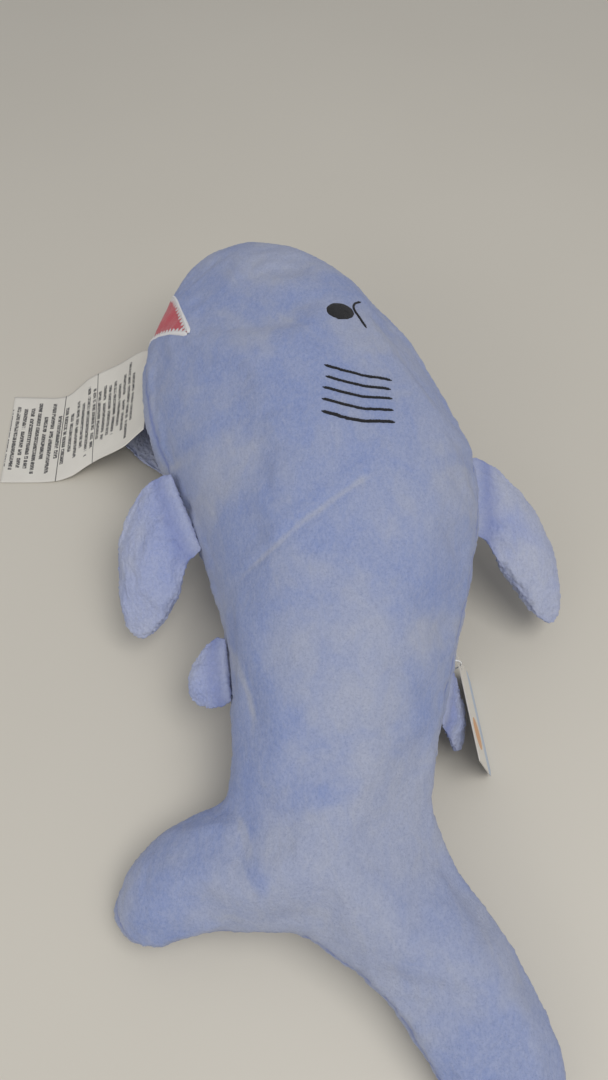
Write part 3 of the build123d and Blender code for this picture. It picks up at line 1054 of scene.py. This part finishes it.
# The left side's stitches stand up from the skin, and the right side's are pressed against the table.
for side_name, above, rise in (("left", True, 0.9), ("right", False, 0.25)):
    oval = stitched_patch(f"oval_{side_name}", eye_edge, rise, above)
    lid = stitched_line(f"lid_{side_name}", LID_LINE, LID_WIDTH, rise, above)
    eye = join(f"eye_{side_name}_piece", [oval, lid])
    dress(eye, BLACK_THREAD, f"eye_{side_name}")
    widths = [GILL_WIDTH] * (len(GILL_LINES) - 1) + [LAST_GILL_WIDTH]
    lines = [stitched_line(f"gill_{side_name}_{index}", line, width, rise, above)
             for index, (line, width) in enumerate(zip(GILL_LINES, widths))]
    gills = join(f"gill_stitches_{side_name}_piece", lines)
    dress(gills, BLACK_THREAD, f"gill_stitches_{side_name}")


# ---------------------------------------------------------------- lips and teeth
def boundary_loop(obj):
    """Places and normals round the longest open edge of a mesh, in order."""
    work = bmesh.new()
    work.from_mesh(obj.data)
    work.normal_update()
    edges = {edge for edge in work.edges if edge.is_boundary}
    loops = []
    while edges:
        edge = min(edges, key=lambda item: item.index)
        edges.discard(edge)
        chain = [edge.verts[0], edge.verts[1]]
        while True:
            following = [e for e in chain[-1].link_edges if e in edges]
            if not following:
                break
            edges.discard(following[0])
            chain.append(following[0].other_vert(chain[-1]))
        loops.append([(vert.co.copy(), vert.normal.copy()) for vert in chain])
    work.free()
    longest = max(loops, key=len)
    return (to_drawing([co[:] for co, _ in longest]), np.array([normal[:] for _, normal in longest]))


def lip_half(upper):
    """The edge of the mouth opening along one lip, from the left corner round to the right one."""
    places, normals = boundary_loop(mouth_lining)
    toward = np.array(MOUTH_TOP, float) - np.array(MOUTH_CORNER, float)
    below = np.array(MOUTH_CHIN, float) - np.array(MOUTH_CORNER, float)
    middle = unit(unit(toward) + unit(below))
    flat = places[:, :2] - np.array(MOUTH_CORNER)
    cross = middle[0] * flat[:, 1] - middle[1] * flat[:, 0]
    keep = (cross < 0) if upper else (cross > 0)
    chosen, chosen_normals = places[keep], normals[keep]
    order = np.argsort(-chosen[:, 2])
    from_corner = np.linalg.norm(flat, axis=1)
    middle_height = (places[:, 2].max() + places[:, 2].min()) / 2
    left_corner = np.argmin(np.where(places[:, 2] > middle_height, from_corner, 1e9))
    right_corner = np.argmin(np.where(places[:, 2] < middle_height, from_corner, 1e9))
    path = [places[[left_corner]], chosen[order], places[[right_corner]]]
    facing = [normals[[left_corner]], chosen_normals[order], normals[[right_corner]]]
    return np.concatenate(path), np.concatenate(facing)


TOOTH_PITCH, TOOTH_HEIGHT = 3.5, 3.0
LIP_SPACING = 0.8
# The lip's rounded section, before its teeth: how far in over the mouth, and how high.
LIP_SECTION = [(-1.0, 0.0), (-0.8, 0.6), (-0.3, 0.95), (0.3, 0.9), (0.6, 0.5)]


def lip_and_teeth(name, upper, node):
    """One lip: a rounded felt bead along the mouth's edge, with pointed teeth over the lining."""
    places, normals = lip_half(upper)
    steps = arc_lengths(places)
    even = np.arange(0, steps[-1], LIP_SPACING)
    path = running_mean(values_at(steps, places, even), 5, mode="edge")
    up = running_mean(values_at(steps, normals, even), 11, mode="edge")
    up /= np.linalg.norm(up, axis=1, keepdims=True)
    ahead = np.gradient(path, axis=0)
    ahead /= np.linalg.norm(ahead, axis=1, keepdims=True)
    centre = np.mean([MOUTH_TOP, MOUTH_CHIN, MOUTH_CORNER], axis=0)
    inward = np.cross(up, ahead)
    flip = np.sign((inward[:, :2] * (centre - path[:, :2])).sum(1))
    flip[flip == 0] = 1
    inward *= flip[:, None]
    points = []
    for index in range(len(path)):
        where = even[index] / TOOTH_PITCH % 1.0
        tooth = TOOTH_HEIGHT * (1 - abs(2 * where - 1)) ** 0.8
        from_end = min(even[index], even[-1] - even[index])
        bead = 0.85 + 0.55 * float(1 - smooth_step(from_end, 4, 26))
        bead *= 0.5 + 0.5 * float(smooth_step(from_end, 0, 2.5))
        reach = bead * 0.6 + max(tooth * float(smooth_step(from_end, 2, 6)), 0.25)
        for across, lift in LIP_SECTION:
            points.append(path[index] + (inward[index] * across + up[index] * lift) * bead)
        points.append(path[index] + inward[index] * reach + up[index] * 0.15)
        points.append(path[index] + inward[index] * reach - up[index] * 0.5)
    obj = new_object(name, np.array(points), grid_faces(len(path), len(LIP_SECTION) + 2))
    face_outwards(obj)
    dress(obj, TOOTH_FELT, node)


lip_and_teeth("upper_teeth_piece", True, "upper_teeth")
lip_and_teeth("lower_teeth_piece", False, "lower_teeth")


# ---------------------------------------------------------------- sewn-in label
LABEL_FRONT = [(-96, 122, 45), (-104, 126, 40), (-111, 128, 33.5), (-121, 128.5, 25), (-133, 129, 17.5),
               (-144, 128.5, 11.5), (-151, 125.5, 6.5), (-158, 122.5, 2.2), (-166, 122, 0.9),
               (-180, 122.5, 0.8), (-194, 123, 0.8)]
LABEL_REAR = [(-95, 58, 45), (-101, 57.5, 39), (-108, 57, 31), (-117, 58.5, 23), (-127, 60, 15),
              (-136, 59.5, 8.5), (-145, 56, 3.6), (-154, 54, 1.2), (-164, 53, 0.9),
              (-177, 53, 0.8), (-190, 53, 0.8)]


# The print on the label, in mm along and across its flat shape.
PRINT_PITCH = 4.6
PRINT_ROW = (0.22, 0.74)            # the share of each pitch that a row of print fills
PRINT_ENDS = (13.5, 112.0)
PRINT_MARGIN, PRINT_RAGGED = 5.0, 14.0
RULES_AT = (50.6, 78.2)
RULE_HALF_WIDTH = 0.3
LABEL_MIDDLE = 34.0
LABEL_CLOTH = ((0.80, 0.78, 0.72), (0.66, 0.64, 0.59))
LABEL_INK = (0.05, 0.05, 0.055)


def printed_rows(graph, along, across):
    """1 on the dashes of ragged rows of print, 0 elsewhere."""
    row_place = graph.math("DIVIDE", along, PRINT_PITCH)
    number = graph.math("FLOOR", row_place)
    on_row = graph.between(graph.math("FRACT", row_place), *PRINT_ROW)
    word_place = graph.flat_place(graph.times(across, 0.42), graph.times(number, 7.7))
    in_word = graph.math("GREATER_THAN", graph.noise(word_place, 1.0, 1.0), 0.37)
    stroke_place = graph.flat_place(graph.times(across, 1.9), graph.times(along, 0.6))
    in_stroke = graph.math("GREATER_THAN", graph.noise(stroke_place, 1.0), 0.43)
    ragged = graph.node("ShaderNodeTexWhiteNoise")
    ragged.noise_dimensions = "1D"
    graph.link(number, ragged.inputs["W"])
    margin = graph.math("ADD", graph.times(ragged.outputs["Value"], PRINT_RAGGED), PRINT_MARGIN)
    from_edge = graph.math("SUBTRACT", LABEL_MIDDLE, graph.distance_from(across, LABEL_MIDDLE))
    ink = graph.times(in_word, in_stroke)
    for limit in (on_row, graph.math("GREATER_THAN", from_edge, margin),
                  graph.between(along, *PRINT_ENDS)):
        ink = graph.times(ink, limit)
    return ink


def label_material():
    """Off-white ribbon with a fine weave, thin rules and rows of generic dark dashes."""
    graph = Graph("label_cloth")
    rest = graph.rest()
    split = graph.node("ShaderNodeSeparateXYZ")
    graph.link(graph.stored("flat", "Vector"), split.inputs[0])
    along, across = split.outputs[0], split.outputs[1]
    ink = printed_rows(graph, along, across)
    for rule_at in RULES_AT:
        rule = graph.math("LESS_THAN", graph.distance_from(along, rule_at), RULE_HALF_WIDTH)
        ink = graph.math("MAXIMUM", ink, rule)
    worn = graph.ramp(graph.noise(rest, 1.6, 3.0, 0.7), 0.05, 0.40)
    ink = graph.times(graph.times(ink, worn), 0.92)
    cloth = graph.mix(graph.noise(rest, 0.05, 3.0), *LABEL_CLOTH)
    graph.colour(graph.mix(ink, cloth, LABEL_INK))
    graph.surface(Roughness=0.75)
    weave = graph.node("ShaderNodeTexWave")
    weave.inputs["Scale"].default_value = 1.6
    graph.link(rest, weave.inputs["Vector"])
    graph.bump(weave.outputs["Fac"], 0.25, 0.15)
    return graph.material


def even_path(stations, count):
    """A smooth path through stations, resampled to equal steps, and its length."""
    path = fair_curve(np.array(stations, float), 400, 9.0)
    steps = arc_lengths(path)
    return values_at(steps, path, np.linspace(0, steps[-1], count)), steps[-1]


def build_label(columns=80, rows=44, thick=0.3):
    front, front_length = even_path(LABEL_FRONT, columns)
    rear, rear_length = even_path(LABEL_REAR, columns)
    length = (front_length + rear_length) / 2
    width = np.linalg.norm(front - rear, axis=1).mean()
    points, flat = [], []
    for column in range(columns):
        share = column / (columns - 1)
        for row in range(rows):
            across = row / (rows - 1)
            place = front[column] * (1 - across) + rear[column] * across
            lifted = float(smooth_step(place[2], 1.0, 6.0))
            wave = 0.9 * math.sin(across * 6.5 + share * 5.0) * math.sin(math.pi * share)
            wave += 0.5 * math.sin(across * 14.0 - share * 9.0) * (1 - share)
            points.append(place + np.array([0, 0, wave * lifted]))
            flat.append((share * length, across * width, 0))
    obj = new_object("sewn_label_piece", np.array(points), grid_faces(columns, rows))
    add_values(obj, "rest", np.array(points))
    add_values(obj, "flat", np.array(flat))
    solid = obj.modifiers.new("cloth_thickness", "SOLIDIFY")
    solid.thickness = thick * MM
    solid.offset = 1.0
    apply_modifiers(obj)
    smooth_shaded(obj)
    cover(obj, label_material())
    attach(obj, "label")
    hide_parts("sewn_label")


build_label()


# ---------------------------------------------------------------- hang tag
TAG_CORNER = np.array([73.2, -76.0, 32.0])
TAG_ALONG = unit((0.103, -0.9947, 0.0))
TAG_NORMAL = unit((0.931, 0.0964, 0.352))
TAG_DOWN = np.cross(TAG_NORMAL, TAG_ALONG)


def measured_along(graph, place, origin, direction):
    """Millimetres from origin in a direction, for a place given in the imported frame."""
    node = graph.node("ShaderNodeVectorMath")
    node.operation = "DOT_PRODUCT"
    node.inputs[1].default_value = tuple(direction / MM)
    graph.link(place, node.inputs[0])
    start = float(to_frame(origin) @ direction) / MM
    return graph.math("SUBTRACT", node.outputs["Value"], start)


CARD_BAND_FROM = 24.0                       # mm down the card
CARD_DISC_AT, CARD_DISC_RADIUS = (38.0, 13.0, 0.0), 8.0
CARD_FACE_FROM = 0.15                       # mm through the card towards its outer face
CARD_PULP = ((0.74, 0.71, 0.65), (0.60, 0.57, 0.51))
CARD_BAND, CARD_DISC = (0.42, 0.52, 0.66), (0.66, 0.30, 0.10)


def card_material():
    """Coated card: a pale face with a generic printed band and disc."""
    graph = Graph("card")
    place = graph.node("ShaderNodeTexCoord").outputs["Object"]
    along = measured_along(graph, place, TAG_CORNER, TAG_ALONG)
    down = measured_along(graph, place, TAG_CORNER, TAG_DOWN)
    through = measured_along(graph, place, TAG_CORNER, TAG_NORMAL)
    flat = graph.flat_place(along, down)
    disc = graph.node("ShaderNodeVectorMath")
    disc.operation = "DISTANCE"
    disc.inputs[1].default_value = CARD_DISC_AT
    graph.link(flat, disc.inputs[0])
    band = graph.math("GREATER_THAN", down, CARD_BAND_FROM)
    spot = graph.math("LESS_THAN", disc.outputs["Value"], CARD_DISC_RADIUS)
    face = graph.math("GREATER_THAN", through, CARD_FACE_FROM)
    pulp = graph.noise(flat, 0.9, 4.0, 0.7)
    colour = graph.mix(graph.times(pulp, 0.4), *CARD_PULP)
    for shape, ink in ((band, CARD_BAND), (spot, CARD_DISC)):
        colour = graph.mix(graph.times(shape, face), colour, ink)
    graph.colour(colour)
    graph.surface(Roughness=0.45, Coat_Weight=0.2)
    graph.bump(pulp, 0.1, 0.1)
    return graph.material


def nylon_material():
    """Clear moulded nylon with faint flow marks."""
    graph = Graph("nylon")
    cloud = graph.noise(graph.node("ShaderNodeTexCoord").outputs["Object"], 900.0, 3.0)
    graph.colour(graph.mix(cloud, (0.80, 0.82, 0.84), (0.92, 0.93, 0.94)))
    graph.surface(Roughness=0.25)
    return graph.material


for node_name, make in (("hang_tag", card_material), ("tag_fastener", nylon_material)):
    cover(frame["nodes"][node_name], make())


# ---------------------------------------------------------------- floor, light and camera
def floor_material():
    graph = Graph("table_top")
    cloud = graph.noise(graph.node("ShaderNodeTexCoord").outputs["Object"], 3.0, 3.0)
    graph.colour(graph.mix(cloud, (0.60, 0.57, 0.50), (0.66, 0.63, 0.56)))
    graph.surface(Roughness=0.5)
    return graph.material


floor = new_object("table_top", [(-6000, -6000, 0), (6000, -6000, 0), (6000, 6000, 0), (-6000, 6000, 0)],
                   [(0, 1, 2, 3)])
cover(floor, floor_material())


def area_light(name, place, target, size, power, colour):
    light = bpy.data.lights.new(name, "AREA")
    light.shape = "RECTANGLE"
    light.size, light.size_y = size
    light.energy = power
    light.color = colour
    obj = bpy.data.objects.new(name, light)
    obj.location = to_frame(place)
    aim = Vector(to_frame(target)) - obj.location
    obj.rotation_euler = aim.to_track_quat("-Z", "Y").to_euler()
    bpy.context.scene.collection.objects.link(obj)


area_light("ceiling_panel", (420, -380, 1150), (0, -20, 0), (0.9, 0.7), 7.0, (1.0, 0.98, 0.95))
area_light("side_fill", (-900, -700, 550), (0, -50, 30), (1.4, 0.8), 3.2, (1.0, 0.98, 0.94))
ROOM_LIGHT, ROOM_STRENGTH = (0.98, 0.98, 1.0, 1.0), 0.42

world = bpy.data.worlds.new("room")
world.use_nodes = True
world.node_tree.nodes["Background"].inputs[0].default_value = ROOM_LIGHT
world.node_tree.nodes["Background"].inputs[1].default_value = ROOM_STRENGTH
bpy.context.scene.world = world

CAMERA_AT = (-2.9, -251.5, 412.8)
CAMERA_PITCH = math.radians(57.5)
camera_data = bpy.data.cameras.new("camera")
camera_data.sensor_fit = "VERTICAL"
camera_data.sensor_height = 36.0
camera_data.lens = 27.67
camera = bpy.data.objects.new("camera", camera_data)
camera.location = to_frame(CAMERA_AT)
camera.rotation_euler = (math.pi / 2 - CAMERA_PITCH, 0, 0)
bpy.context.scene.collection.objects.link(camera)
bpy.context.scene.camera = camera
bpy.context.scene.view_settings.view_transform = "Standard"
